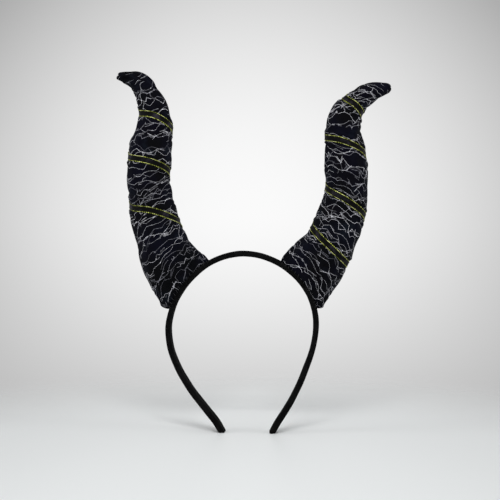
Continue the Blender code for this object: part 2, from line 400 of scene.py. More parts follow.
def backdrop(look):
    # level = lobe - side·(a/span)² - up·(h/span)² or down·(h/span)^1.5, then ^2.2 for light. The side
    # fall is weaker low down, stronger high up, and eased to a third far round to the sides, so that
    # other views have an even backdrop.
    world = bpy.data.worlds.new("pale_backdrop")
    world.use_nodes = True
    scene.world = world
    recipe = Recipe(world.node_tree)
    x, y, z = recipe.split(recipe.node("TexCoord", None, "Generated"))
    degrees = 180 / math.pi
    azimuth = x.arcTangent(y) * degrees - look["lobeAzimuth"]
    height = z.arcSine() * degrees - look["lobeHeight"]
    aside = (abs(azimuth) / look["sideSpan"]).least(1.15) ** 2.0
    aside = aside * (1 - 0.7 * abs(azimuth).rising(*look["sideEnds"]))
    above = (height.most(0.0) / look["upSpan"]).least(1.2) ** 2.0
    below = ((0.0 - height).most(0.0) / look["downSpan"]).least(1.0) ** 1.5
    aside = aside * (1 - look["sideLow"] * below + look["sideHigh"] * above)
    level = look["lobeLevel"] - aside * look["sideFall"] - above * look["upFall"] - below * look["downFall"]
    light = (level / 255.0) ** 2.2
    colour = recipe.node("CombineColor", {0: light, 1: light, 2: light})
    shader = recipe.node("Background", {"Color": colour, "Strength": 1.0})
    recipe.node("OutputWorld", {"Surface": shader})


def paleFloor(look):
    # Disc on a polar grid: (r·cos a, r·sin a, 0). Solid under the object, clear at its rim.
    # Its colour has painted shade that darkens it towards each side, in place of the lights' falloff.
    rings, sides = look["floorGrid"]
    radius = np.linspace(0.0, look["floorRadius"], rings + 1)[1:, None]
    a = np.linspace(0.0, 2 * np.pi, sides, endpoint=False)[None, :]
    x = look["floorMiddle"][0] + radius * np.cos(a)
    y = look["floorMiddle"][1] + radius * np.sin(a)
    points = np.stack([x, y, np.zeros_like(x)], axis=-1)
    faces = gridFaces(rings, sides).tolist() + [list(range(sides))]
    material, recipe = newRecipe("pale_floor")
    place = recipe.place()
    ends = {0: place, 1: (*look["floorMiddle"], 0.0)}
    fromMiddle = recipe.node("VectorMath", ends, operation="SUBTRACT")
    away = recipe.node("VectorMath", {0: fromMiddle}, "Value", operation="LENGTH")
    grain = recipe.noise(place, *look["floorGrain"])
    near, far, share = look["floorPaintedShade"]
    # painted shade: the floor's colour darkens towards each side
    toSide = abs(recipe.split(place)[0]).rising(near, far)
    even, grained, paintedShadeColour = (tuple(s * c for c in look["floorColour"]) for s in (1.0, 0.985, 1 - share))
    colour = recipe.blend(toSide, recipe.blend(grain, even, grained), paintedShadeColour)
    shader = recipe.node("BsdfPrincipled", {"Base Color": colour} | look["floorShader"])
    clear = recipe.node("BsdfTransparent")
    fade = away.rising(look["floorSolid"], look["floorGone"])
    mixed = recipe.node("MixShader", {0: fade, 1: shader, 2: clear})
    recipe.node("OutputMaterial", {"Surface": mixed})
    floor, mesh = addMesh("pale_floor", points, faces)
    mesh.materials.append(material)


softLights = (
    # name, place, aimed at, width and height, watts
    ("front_softbox", (0.05, -1.15, 1.50), (0.0, 0.0, 0.12), (0.8, 0.5), 16.0),
    ("left_softbox", (-1.3, -0.35, 0.75), (0.0, 0.0, 0.18), (0.6, 0.9), 4.0),
    ("right_softbox", (1.3, -0.25, 0.75), (0.0, 0.0, 0.18), (0.6, 0.9), 3.5),
)


def addLights(lights):
    for name, place, target, size, watts in lights:
        data = bpy.data.lights.new(name, "AREA")
        data.shape = "RECTANGLE"
        data.size, data.size_y = size
        data.energy = watts
        lamp = addObject(name, data)
        x, y, z = (t - p for p, t in zip(place, target))
        lamp.location = place
        lamp.rotation_euler = (math.atan2(math.hypot(x, y), -z), 0.0, math.atan2(-x, y))


backdrop(studio)
paleFloor(studio)
addLights(softLights)
print("floor, backdrop and lights done")


# Band: a stiff strip covered in black velvet

band = {
    # middle of the strip from the right end over the head to the left end: x, z, thickness in mm
    "rows": (
        (16.2, 0.0, 5.2),
        (19.8, 7.0, 5.2),
        (28.0, 20.0, 5.2),
        (37.5, 38.0, 5.0),
        (44.2, 54.5, 4.8),
        (50.5, 74.5, 4.6),
        (52.1, 95.5, 4.6),
        (46.2, 116.0, 4.6),
        (33.8, 132.2, 4.6),
        (14.8, 144.4, 4.6),
        (-9.0, 149.0, 4.6),
        (-33.3, 142.6, 4.6),
        (-52.1, 128.0, 4.6),
        (-64.8, 109.0, 4.6),
        (-70.3, 88.0, 4.6),
        (-68.0, 68.0, 4.8),
        (-61.0, 51.0, 4.8),
        (-50.9, 34.4, 5.0),
        (-37.9, 17.8, 5.2),
        (-29.2, 6.4, 5.2),
        (-25.6, 0.0, 5.2),
    ),
    "depth": 12.0,
    "corner": 1.7,  # radius of the strip's long edges
    "endRound": 1.5,
    "endCut": 6.0,  # length over which the ends turn level with the floor
    "overlap": 0.28,  # step of the cloth where it laps over itself on the inner face
    "lapRise": (1.0, 1.9),  # and where the step rises and fades, from the middle to the back
    "lapFade": (4.6, 2.6),
    "nap": 0.05,
    "lumps": 0.06,
    "lumpLengths": (7.3, 3.1),  # mm for each radian
    "rings": 700,
    "around": 64,
    "velvet": {
        "pile": (0.0007, 2.0),
        "brushed": (0.009, 2.0, 0.4, 0.65),
        "lint": (0.0006, 0.0, 0.74, 0.8),
        "deepColour": (0.0014, 0.0014, 0.0016),
        "paintedBloomColour": (0.004, 0.004, 0.0042),
        "tipColour": (0.009, 0.009, 0.0095),
        "lintColour": (0.06, 0.057, 0.053),
        "bump": (0.22, 0.9),
        "shader": {
            "Specular IOR Level": 0.04,
            "Sheen Weight": 0.016,
            "Sheen Roughness": 0.35,
            "Sheen Tint": (0.8, 0.8, 0.85),
        },
    },
}


def bandLine(at):
    # middle, direction along, outward direction and thickness at distances from the right end
    rows = np.array(band["rows"]) * mm
    places = distances(rows[:, :2])
    values = through(places, rows, at)
    nudge = 0.1 * mm
    along = unit(through(places, rows, at + nudge)[..., :2] - through(places, rows, at - nudge)[..., :2])
    outward = np.stack([along[..., 1], -along[..., 0]], axis=-1)
    return values[..., :2], along, outward, values[..., 2]


def bandLength():
    return distances(np.array(band["rows"])[:, :2] * mm)[-1]


def makeBand():
    # Section: a rounded rectangle, (reach·clip(1.9·direction) + corner·direction) round its middle.
    # Near each end the section slides along the strip until it lies level, and its edge rounds in.
    length = bandLength()
    at = np.linspace(0.0, 1.0, band["rings"])
    at = length * (at - 0.035 * np.sin(2 * np.pi * 2 * at) / (2 * np.pi))
    fromEnd = np.minimum(at, length - at)
    middle, along, outward, thick = bandLine(at)
    a = np.linspace(0.0, 2 * np.pi, band["around"], endpoint=False)
    corner = band["corner"] * mm
    halfDepth = band["depth"] * mm / 2
    rim = np.clip(1 - fromEnd / (band["endRound"] * mm), 0.0, 1.0)
    inset = band["endRound"] * mm * (1 - np.sqrt(1 - rim**2))
    halfThick = thick / 2 - inset * 0.8
    reach = np.stack([halfThick - corner, halfDepth - inset - corner], axis=1)
    direction = np.stack([np.cos(a), np.sin(a)], axis=1)
    square = np.clip(direction * 1.9, -1.0, 1.0)
    out = square[None, :, 0] * reach[:, None, 0] + direction[None, :, 0] * corner
    back = square[None, :, 1] * reach[:, None, 1] + direction[None, :, 1] * corner
    # lap of the cloth on the inner face, a little behind the middle
    innerFace = smoothStep(0.2, -0.6, direction[:, 0])[None, :]
    behind = back / mm
    lap = smoothStep(*band["lapRise"], behind) * smoothStep(*band["lapFade"], behind) * innerFace
    out = out - band["overlap"] * mm * lap
    # soft lumps where the cloth is glued over the strip, and its nap
    random = np.random.default_rng(11)
    long, short = band["lumpLengths"]
    wave = np.sin(at / (long * mm))[:, None] * np.cos(2 * a)
    wave = band["lumps"] * mm * (wave + np.sin(at / (short * mm) + 1)[:, None] * np.sin(3 * a))
    settle = smoothStep(0.0, 4 * mm, fromEnd)[:, None]
    grow = (wave + band["nap"] * mm * random.uniform(-1, 1, out.shape)) * settle
    out = out + grow * direction[None, :, 0]
    back = back + grow * direction[None, :, 1]
    slide = smoothStep(band["endCut"] * mm, 0.0, fromEnd)[:, None]
    down = -(out * outward[:, None, 1]) / along[:, None, 1] * slide
    x = middle[:, None, 0] + out * outward[:, None, 0] + down * along[:, None, 0]
    z = middle[:, None, 1] + out * outward[:, None, 1] + down * along[:, None, 1]
    points = np.stack([x, back, np.maximum(z, 0.0)], axis=-1)
    quads, ends = tubeFaces(*out.shape)
    velvet = blackVelvet(band["velvet"])
    makePiece("band_velvet", points, quads, velvet, "headband", ends, stripUv(at, len(a), 0.1))


makeBand()


# Horns: printed cloth sewn into a cone, stuffed, and stitched on the band

cloth = {
    "flatSize": 200.0,  # the UV map's whole width and height, mm
    "threadPitch": 0.5,
    # size in metres and detail of each kind of blotch, and the values between which it rises
    "patches": (0.024, 3.0, 0.36, 0.70),
    "fade": (0.012, 2.0, 0.55, 0.75),
    "speckle": (0.0009, 2.0, 0.36, 0.5),
    "glint": (0.0026, 1.0, 0.40, 0.62),
    "crumple": (0.0035, 3.0),
    "inkEdge": (0.05, -0.05),  # mm beyond a line's half width
    "inkReach": (0.95, 0.75),
    "black": (0.0022, 0.0023, 0.0032),
    "navy": (0.0024, 0.0026, 0.0082),
    "worn": (0.0065, 0.0095, 0.0150),
    "inkDark": (0.22, 0.22, 0.26),
    "inkLight": (0.92, 0.92, 0.98),
    "bump": (0.10, 0.8),
    "shader": {
        "Specular IOR Level": 0.05,
        "Sheen Weight": 0.016,
        "Sheen Roughness": 0.4,
        "Sheen Tint": (0.60, 0.75, 0.95),
    },
}

skin = {
    "columns": 224,
    "rows": 372,
    "skirtRows": 12,
    "capRows": 12,
    "seamDepth": 11.4,
    "gathers": 27,
    "gatherDepth": 0.55,
    "gatherLength": 9.0,
    "pleats": 8,
    "seamRise": 1.6,  # mm from the seam over which the gathers grow
    "lumps": 0.30,
    "lumpLength": (14, 42),
    "grooveDepth": 0.35,
    "grooveEdge": (4.4, 2.7),  # mm from the ribbon's middle, where the cloth begins and ends to flatten
    "flattened": 0.85,
    "bulge": 0.40,
    "bulgePlace": (5.0, 1.5),  # mm from the ribbon's middle, and width
    "backSeam": (0.5, 0.8),  # depth and half width
    "backBanks": (0.3, 2.4),  # height, and place beside the seam
    "ladderPitch": 3.4,  # of the stitches up the back and the puckers between them
    "firmTip": 13.0,
    "skirtLength": 5.5,  # from the seam to the first section
    "seamRoll": 5.5,  # how far the skirt sets off sideways
    "creaseWidth": 1.15,
    "gatherDrift": ((1.7, 3), (0.9, 7)),  # radians and waves round, so that the gathers are uneven
    "lumpWaves": 16,
    "smallCreases": 34,
    # ranges of a small crease: mm along, degrees round, half length, slant, depth
    "smallCrease": ((6, 180), (0, 360), (14, 34), (-14, 14), (0.05, 0.16)),
}

backTurn = -np.pi / 2  # where each horn's own seam runs

hornLeft = {
    "name": "left",
    "side": -1,
    # each row is one section from the band to the tip: x and z of its middle, lean (degrees that
    # its outer edge dips), width, depth, bow of its front and back, depth of its pleats; mm
    "rows": (
        (-58.9, 127.2, 50.0, 54.0, 21.0, 5.6, 1.0),
        (-63.4, 132.4, 46.0, 51.0, 29.0, 3.6, 1.1),
        (-68.4, 140.3, 42.5, 48.4, 33.5, 2.0, 0.7),
        (-74.8, 153.6, 36.8, 45.6, 35.5, 1.0, 0.0),
        (-80.6, 171.9, 30.0, 40.4, 35.5, 0.4, 0.0),
        (-84.0, 186.5, 24.0, 38.2, 35.0, 0.0, 0.0),
        (-86.1, 204.1, 16.0, 35.8, 34.0, 0.0, 0.0),
        (-86.0, 223.0, 7.5, 36.0, 33.0, 0.0, 0.0),
        (-84.2, 243.0, 2.0, 34.4, 31.5, 0.0, 0.0),
        (-80.4, 258.0, 1.0, 28.0, 27.0, 0.0, 0.0),
        (-82.7, 270.3, 6.5, 24.6, 24.0, 0.0, 0.0),
        (-86.8, 279.4, 13.0, 21.0, 21.0, 0.0, 0.0),
        (-92.8, 288.3, 21.0, 17.8, 17.0, 0.0, 0.3),
        (-100.2, 293.5, 36.0, 15.0, 13.5, 0.0, 0.3),
        (-106.3, 295.1, 52.0, 10.0, 11.0, 0.0, 0.2),
        (-110.8, 295.6, 64.0, 6.6, 7.0, 0.0, 0.0),
    ),
    "tip": (-112.5, 295.6),
    "cleft": (1.5, 0.2, 0.7),  # depth, height above the middle, half width, mm
    "upright": 0.1,  # how far its upper side comes forward, for each mm above the middle
    "blunt": 2.0,
    "seam": ((-38.5, 147.5), (-72.8, 104.0)),
    # ribbon's winding: degrees round from the outer edge by the front, mm along the horn
    "ribbon": (
        (-120.0, 157.0),
        (20.0, 145.0),
        (90.0, 142.0),
        (180.0, 130.0),
        (370.0, 110.0),
        (450.0, 104.5),
        (540.0, 91.0),
        (750.0, 72.0),
        (805.0, 65.0),
        (890.0, 43.0),
        (975.0, 33.0),
    ),
    # creases: mm along, degrees round, half length in degrees, slant in mm per 100 degrees, depth in mm
    "creases": (
        (146.0, 5.0, 50.0, 2.0, 0.45),
        (152.5, -8.0, 42.0, -1.5, 0.40),
        (159.0, 4.0, 46.0, 1.0, 0.40),
        (166.0, -5.0, 50.0, -1.0, 0.30),
        (92.0, 175.0, 36.0, 3.0, 0.22),
        (60.0, 182.0, 40.0, -3.0, 0.25),
        (12.0, 20.0, 30.0, 12.0, 0.55),
        (9.0, 55.0, 26.0, -8.0, 0.40),
        (14.0, 120.0, 30.0, 6.0, 0.30),
    ),
    "corner": (5.0, 1.7),  # degrees round and extra depth of the strongest gathers
    "seed": 5,
    "rowGap": (2.8, 4.8),  # mm between rows of printed lines that go round the horn
    "printPlain": 171.0,  # the cloth is almost plain beyond here, mm along
}

hornRight = {
    "name": "right",
    "side": 1,
    "rows": (
        (42.2, 127.2, 54.0, 53.0, 21.0, 5.4, 0.6),
        (46.9, 132.8, 51.0, 51.0, 29.0, 3.6, 0.7),
        (51.6, 139.2, 49.0, 48.8, 33.5, 2.0, 0.5),
        (60.0, 150.6, 46.4, 44.8, 35.5, 1.0, 0.0),
        (67.0, 164.6, 42.4, 42.6, 35.5, 0.4, 0.0),
        (72.6, 178.5, 33.8, 38.9, 35.0, 0.0, 0.0),
        (76.6, 195.7, 23.6, 37.8, 34.5, 0.0, 0.0),
        (77.0, 215.5, 15.0, 36.4, 33.5, 0.0, 0.0),
        (75.6, 233.6, 7.6, 33.4, 31.5, 0.0, 0.0),
        (73.9, 248.4, 4.0, 29.8, 28.5, 0.0, 0.0),
        (75.1, 260.1, 7.0, 26.5, 25.5, 0.0, 0.0),
        (80.2, 269.5, 14.0, 24.0, 23.0, 0.0, 0.0),
        (89.0, 276.8, 18.5, 22.6, 20.0, 0.0, 0.0),
        (97.6, 282.1, 27.0, 20.4, 16.8, 0.0, 0.2),
        (104.2, 284.4, 35.0, 15.2, 13.8, 0.0, 0.2),
        (109.2, 285.2, 47.0, 8.8, 8.6, 0.0, 0.0),
    ),
    "tip": (112.5, 285.2),
    "cleft": (0.5, -0.2, 0.8),
    "upright": 0.75,
    "blunt": 2.4,
    "seam": ((25.0, 146.5), (54.0, 104.5)),
    "ribbon": (
        (235.0, 164.0),
        (134.0, 158.0),
        (90.0, 155.5),
        (28.0, 149.0),
        (-196.0, 125.0),
        (-257.0, 123.5),
        (-340.0, 116.0),
        (-558.0, 78.0),
        (-640.0, 75.0),
        (-718.0, 69.5),
        (-916.0, 36.5),
        (-1065.0, 35.5),
        (-1150.0, 33.0),
    ),
    "creases": (
        (132.0, 8.0, 46.0, -2.0, 0.35),
        (138.5, -4.0, 50.0, 1.5, 0.45),
        (145.0, 6.0, 44.0, -1.0, 0.45),
        (151.5, -6.0, 46.0, 2.0, 0.35),
        (96.0, 184.0, 36.0, -3.0, 0.22),
        (62.0, 176.0, 40.0, 3.0, 0.25),
        (10.0, 15.0, 28.0, 9.0, 0.40),
        (12.0, 150.0, 30.0, -8.0, 0.40),
    ),
    "corner": (170.0, 0.8),
    "seed": 23,
    "rowGap": (2.8, 4.7),
    "printPlain": 179.0,
}


def hornTable(horn):
    # section rows in metres and radians, and how far along the horn each one lies
    table = np.array(horn["rows"]) * mm
    table[:, 2] = np.radians(np.array(horn["rows"])[:, 2])
    return distances(table[:, :2]), table


def hornSection(horn, run, turn):
    # out = (width/2 + swell)·cos(turn), y = -(depth/2 + swell)·sin(turn), rise = bow·sin²(turn),
    # turned by the lean and moved to the section's middle; swell = pleat·cos(pleats·turn)
    places, table = hornTable(horn)
    x, z, lean, width, depth, bow, pleat = np.moveaxis(through(places, table, run), -1, 0)
    swell = pleat * np.cos(skin["pleats"] * turn)
    out = (width / 2 + swell) * np.cos(turn)
    rise = bow * np.sin(turn) ** 2
    return np.stack(
        [
            x + horn["side"] * (out * np.cos(lean) + rise * np.sin(lean)),
            -(depth / 2 + swell) * np.sin(turn),
            z - out * np.sin(lean) + rise * np.cos(lean),
        ],
        axis=-1,
    )


def hornGirth(horn, run):
    # Ramanujan's length of an ellipse with the section's width and depth
    places, table = hornTable(horn)
    values = through(places, table, np.clip(run, 0.0, places[-1]))
    a, b = values[..., 3] / 2, values[..., 4] / 2
    return np.pi * (3 * (a + b) - np.sqrt((3 * a + b) * (a + 3 * b)))


def nearestRun(point):
    places = np.linspace(0.0, bandLength(), 2000)
    gap = np.linalg.norm(bandLine(places)[0] - np.array(point) * mm, axis=1)
    return places[np.argmin(gap)]


def seamRing(horn, turn, lift=-0.5 * mm):
    # leaf shape on the band's outer face: run = middle + half·cos(turn), y = -depth/2·sin(turn)
    inner, outer = (nearestRun(point) for point in horn["seam"])
    run = (inner + outer) / 2 + (outer - inner) / 2 * np.cos(turn)
    middle, _, outward, thick = bandLine(run)
    place = middle + (thick / 2 + lift)[..., None] * outward
    back = -skin["seamDepth"] * mm / 2 * np.sin(turn)
    return np.stack([place[..., 0], back, place[..., 1]], axis=-1)


def skirt(horn, share, turn):
    # Hermite curve from the seam (share 0) to the first section (share 1): it leaves the band
    # sideways, so the stuffed edge rolls over the seam, and meets the section along the horn.
    zero = np.zeros_like(turn)
    seam = seamRing(horn, turn)
    first = hornSection(horn, zero, turn)
    step = 0.2 * mm
    along = unit(hornSection(horn, zero + step, turn) - first)
    chord = first - seam
    length = np.linalg.norm(chord, axis=-1, keepdims=True)
    leave = 0.45 * chord - np.stack([zero, skin["seamRoll"] * mm * np.sin(turn), zero], axis=-1)
    return hermite(seam, leave, first, along * length, share[..., None])


def tipPoint(horn):
    # where the horn's cloth closes
    return np.array([horn["tip"][0] * mm, 0.0, horn["tip"][1] * mm])


def tipCap(horn, share, turn):
    # The last section shrinks by (1 - share^blunt)^0.5 while its middle goes on to the tip: a blunt end.
    # Its upper side is brought forward, and where its folds meet it has a cleft from front to back.
    places, table = hornTable(horn)
    middle = np.array([table[-1, 0], 0.0, table[-1, 1]])
    tip = tipPoint(horn)
    last = hornSection(horn, np.full_like(turn, places[-1]), turn)
    scale = np.sqrt(np.maximum(1 - share ** horn["blunt"], 0.0))[..., None]
    out = (last - middle) * scale
    depth, place, width = horn["cleft"]
    level = (out[..., 2] / mm - place) / width
    forward = horn["upright"] * out[..., 2] * share - depth * mm * np.exp(-(level**2)) * share
    return middle + out + (tip - middle) * share[..., None] + forward[..., None] * unit(tip - middle)


def ribbonRun(horn, turn):
    # distance along the horn of the ribbon's middle, at turns counted through all its windings
    table = np.array(horn["ribbon"])
    order = np.argsort(table[:, 0])
    turns = np.radians(table[order, 0])
    return through(turns, table[order, 1:] * mm, turn)[..., 0], turns[0], turns[-1]


def ribbonDistance(horn, run, turn):
    # signed distance in metres to the nearest winding: (run - ribbon's run)·cos(pitch angle)
    best = np.full(run.shape, 1.0)
    inside = np.zeros(run.shape)
    _, first, last = ribbonRun(horn, np.zeros(1))
    radius = hornGirth(horn, run) / (2 * np.pi)
    for winding in range(-4, 4):
        angle = turn + 2 * np.pi * winding
        held = np.clip(angle, first, last)
        here = ribbonRun(horn, held)[0]
        slope = (ribbonRun(horn, np.minimum(held + 0.01, last))[0] - here) / 0.01
        gap = (run - here) * radius / np.hypot(radius, slope)
        over = np.abs(angle - held) * radius
        closer = np.hypot(gap, over) < np.abs(best)
        best = np.where(closer, np.hypot(gap, over) * np.sign(gap + 1e-12), best)
        fade = smoothStep(4 * mm, 0.0, over)
        inside = np.where(closer, fade, inside)
    return best, inside


def turnFrom(turn, about):
    # the turn's angle from another, from -pi to pi
    return (turn - about + np.pi) % (2 * np.pi) - np.pi


def crease(run, turn, middle, about, half, slant, depth):
    # a valley with low banks, -(1 - x²)·exp(-x²/2) across, fading towards its two ends
    aside = turnFrom(turn, np.radians(about))
    line = middle * mm + slant * mm * aside / np.radians(100)
    x = (run - line) / (skin["creaseWidth"] * mm)
    window = smoothStep(1.0, 0.35, np.abs(aside) / np.radians(half))
    return -depth * mm * (1 - x**2) * np.exp(-(x**2) / 2) * window


def tipFade(run, length):
    # 1 along the horn, 0 at the tip, where the cloth is folded too tight to wrinkle
    return smoothStep(length, length - skin["firmTip"] * mm, run)


def skinRelief(horn, run, turn, length, skirtLength):
    # How far the cloth stands off the smooth form: gathers at the seam, stuffing lumps, creases,
    # the valley of the back seam, and the groove with soft banks that the tight ribbon presses in.
    random = np.random.default_rng(horn["seed"])
    radius = hornGirth(horn, run) / (2 * np.pi)
    phase = skin["gathers"] * turn
    for strength, waves in skin["gatherDrift"]:
        phase = phase + strength * np.sin(waves * turn + random.uniform(0, 6))
    ridge = np.abs(np.sin(phase / 2 + 0.25 * np.sin(run / (4 * mm)))) ** 0.6 - 0.55
    about, extra = horn["corner"]
    aside = turnFrom(turn, np.radians(about))
    stronger = 1 + extra * np.exp(-((aside / 0.6) ** 2))
    uneven = 0.65 + 0.35 * np.sin(5 * turn + random.uniform(0, 6))
    reach = skin["gatherLength"] * mm * (0.7 + 0.5 * uneven)
    rising = 1 - np.exp(-(run + skirtLength) / (skin["seamRise"] * mm))
    fading = np.exp(-np.maximum(run, 0) / reach)
    relief = skin["gatherDepth"] * mm * ridge * stronger * uneven * rising * fading
    for _ in range(skin["lumpWaves"]):
        around = random.integers(1, 6)
        wavelength = random.uniform(*skin["lumpLength"]) * mm
        wave = np.sin(around * turn + run / wavelength * 2 * np.pi + random.uniform(0, 6))
        relief = relief + skin["lumps"] / 4 * mm * wave
    small = [[random.uniform(*ends) for ends in skin["smallCrease"]] for _ in range(skin["smallCreases"])]
    for row in (*horn["creases"], *small):
        relief = relief + crease(run, turn, *row)
    fromSeam = turnFrom(turn, backTurn) * radius
    pucker = 1 + 0.35 * np.cos(run * 2 * np.pi / (skin["ladderPitch"] * mm))
    depth, width = skin["backSeam"]
    relief = relief - depth * mm * np.exp(-((fromSeam / (width * mm)) ** 2)) * pucker
    height, place = skin["backBanks"]
    relief = relief + height * mm * np.exp(-((np.abs(fromSeam) / (place * mm) - 1) ** 2) * 3)
    gap, inside = ribbonDistance(horn, run, turn)
    gap = np.abs(gap) / mm
    flat = smoothStep(*skin["grooveEdge"], gap) * inside
    place, width = skin["bulgePlace"]
    bank = skin["bulge"] * mm * np.exp(-(((gap - place) / width) ** 2)) * inside
    relief = relief * (1 - skin["flattened"] * flat) - skin["grooveDepth"] * mm * flat + bank
    return relief * smoothStep(-skirtLength, -skirtLength + 1.5 * mm, run) * tipFade(run, length)


printing = {
    "firstRow": -11.0,  # mm along the horn; the seam lies at about -5.5
    "slantGap": 17.0,  # mm between the long lines that cross the rows
    "step": (2.4, 8.0),
    "halfWidth": (0.07, 0.135),
    "shade": (0.0, 1.0),
    "break": 0.10,  # chance at each step that a line stops for a few mm
    "bow": 0.16,  # that it goes on as a bow of short steps
    "twig": 0.10,
    "double": 0.07,
    "knot": 0.04,
    "plain": 0.8,  # that it skips on, where the cloth is almost plain
    "pull": 0.09,  # radians back towards the trend for each mm off it, and the most
    "pullMost": 0.5,
    "flip": 0.78,
    "steepChance": 0.22,
    "twigGoesOn": 0.6,
    # ranges: headings and bends in radians from the line's trend, steps and gaps in mm
    "heading": (0.06, 0.52),
    "steep": (0.7, 1.2),
    "gap": (1.0, 4.5),
    "jump": (-1.5, 1.5),
    "bowHeading": (0.4, 0.9),
    "bowBend": (0.14, 0.27),
    "bowStep": (1.1, 1.9),
    "twigHeading": (0.8, 1.8),
    "twigStep": (1.5, 4.0),
    "twigBend": (-1.0, 1.0),
    "twigEnd": (1.0, 3.0),
    "doubleGap": (1.3, 2.3),
    "doubleBend": (-0.2, 0.2),
    "doubleStep": (0.6, 1.1),
    "knotStep": (0.4, 1.0),
    "knotWidth": 0.36,
    "plainSkip": 5.0,
    "reach": 1.5,  # mm from a line that the cloth still knows of it
}


def jaggedLine(random, lines, start, trend, reach, plainFrom):
    # One line crosses the cloth in short steps about its trend, as complex numbers u + v·i in mm on
    # the flat cloth. Each step's heading mostly flips to the line's other side, which gives peaks; now
    # and then it breaks off, bows, doubles or sends out a twig. Each entry is (u, v, u, v, half width,
    # shade).
    def some(name):
        # a random value from one of the ranges
        return random.uniform(*printing[name])

    def draw(at, heading, step, width, shade):
        ahead = at + cmath.rect(step, heading)
        lines.append((at.real, at.imag, ahead.real, ahead.imag, width, shade))
        return ahead

    at, flip = start, 1
    width, shade = some("halfWidth"), some("shade")
    while abs(at - start) < reach:
        if at.imag > plainFrom and random.uniform() < printing["plain"]:
            at += cmath.rect(printing["plainSkip"], trend)
            continue
        # pull back towards the straight line through the start
        off = ((at - start) * cmath.rect(1.0, -trend)).imag
        most = printing["pullMost"]
        aim = trend - max(-most, min(most, printing["pull"] * off))
        chance = random.uniform()
        if chance < printing["break"]:
            at += cmath.rect(some("gap"), aim)
            at += some("jump") * 1j
            width, shade = some("halfWidth"), some("shade")
            continue
        chance -= printing["break"]
        if chance < printing["bow"]:
            heading = aim + flip * some("bowHeading")
            bend = -flip * some("bowBend")
            for _ in range(random.integers(4, 8)):
                at = draw(at, heading, some("bowStep"), width, shade)
                heading += bend
            continue
        chance -= printing["bow"]
        flip = -flip if random.uniform() < printing["flip"] else flip
        steep = random.uniform() < printing["steepChance"]
        heading = aim + flip * some("steep" if steep else "heading")
        step = some("step") * (0.7 if steep else 1.0)
        if chance < printing["twig"]:
            twig = heading + random.choice((-1, 1)) * some("twigHeading")
            end = draw(at, twig, some("twigStep"), width, shade * 0.85)
            if random.uniform() < printing["twigGoesOn"]:
                twig += some("twigBend")
                draw(end, twig, some("twigEnd"), width * 0.9, shade * 0.8)
        elif chance < printing["twig"] + printing["double"]:
            aside = 0.5 + random.choice((-1.0, 1.0)) * some("doubleGap") * 1j
            draw(at + aside, heading + some("doubleBend"), step * some("doubleStep"), width, shade)
        if random.uniform() < printing["knot"]:
            draw(at, heading, some("knotStep"), printing["knotWidth"], 1.0)
        at = draw(at, heading, step, width, shade)


def jaggedLines(horn, girth, length):
    random = np.random.default_rng(horn["seed"] + 100)
    lines = []
    row = printing["firstRow"]
    while row < length + 4:
        row += random.uniform(*horn["rowGap"])
        trend = random.uniform(-0.17, 0.17)
        start = complex(-girth / 2 - random.uniform(0, 5), row - girth / 2 * math.sin(trend))
        jaggedLine(random, lines, start, trend, girth + 5, horn["printPlain"])
    for column in np.arange(-girth / 2, girth / 2, printing["slantGap"]):
        u, v = column + random.uniform(-4, 4), random.uniform(0, length - 40)
        trend = random.choice((-1, 1)) * random.uniform(0.7, 1.25)
        for along in (v, (v + length / 2) % length):
            jaggedLine(random, lines, complex(u, along), trend, random.uniform(22, 46), horn["printPlain"])
    return np.array(lines)


def printOnCloth(u, v, lines):
    # For each grid point: the step to the nearest line and its length, and that line's half width and
    # shade. The nearest point of a line is start + clip(t, 0, 1)·(end - start), in a window round it.
    offset = np.full((*u.shape, 3), printing["reach"])
    ink = np.zeros((*u.shape, 3))
    runs = v[:, 0]
    girths = u[:, -1] - u[:, 0]
    columns = u.shape[1] - 1
    margin = printing["reach"] + 0.1
    for u0, v0, u1, v1, width, tone in lines:
        top, bottom = np.searchsorted(runs, (min(v0, v1) - margin, max(v0, v1) + margin))
        if top >= bottom:
            continue
        band = girths[top:bottom]
        low, high = min(u0, u1) - margin, max(u0, u1) + margin
        left = int(min(low / band.min(), low / band.max()) * columns + columns / 2)
        right = int(max(high / band.min(), high / band.max()) * columns + columns / 2) + 2
        window = np.s_[top:bottom, max(left, 0) : min(right, columns + 1)]
        pu, pv = u[window] - u0, v[window] - v0
        du, dv = u1 - u0, v1 - v0
        t = np.clip((pu * du + pv * dv) / (du * du + dv * dv), 0.0, 1.0)
        stepU, stepV = t * du - pu, t * dv - pv
        distance = np.hypot(stepU, stepV)
        nearer = (distance < offset[window][..., 2])[..., None]
        offset[window] = np.where(nearer, np.stack([stepU, stepV, distance], axis=-1), offset[window])
        ink[window] = np.where(nearer, (width, tone, 0.0), ink[window])
    return offset, ink


def hornGrid(horn):
    # run goes from -skirtLength at the seam to past the last section at the tip
    places, _ = hornTable(horn)
    length = places[-1]
    columns = skin["columns"]
    turn = np.linspace(backTurn, backTurn + 2 * np.pi, columns, endpoint=False)
    share = np.linspace(0.0, 1.0, skin["skirtRows"], endpoint=False)
    seamPoints = skirt(horn, *np.meshgrid(share, turn, indexing="ij"))
    skirtLength = skin["skirtLength"] * mm
    run = np.linspace(0.0, length, skin["rows"])
    body = hornSection(horn, *np.meshgrid(run, turn, indexing="ij"))
    capShare = np.sin(np.linspace(0.0, np.pi / 2, skin["capRows"] + 1, endpoint=False)[1:])
    cap = tipCap(horn, *np.meshgrid(capShare, turn, indexing="ij"))
    tipGap = np.linalg.norm(np.array(horn["tip"]) * mm - np.array(horn["rows"][-1][:2]) * mm)
    points = np.concatenate([seamPoints, body, cap])
    runs = np.concatenate([(share - 1) * skirtLength, run, length + capShare * tipGap])
    return points, runs, turn, length, skirtLength


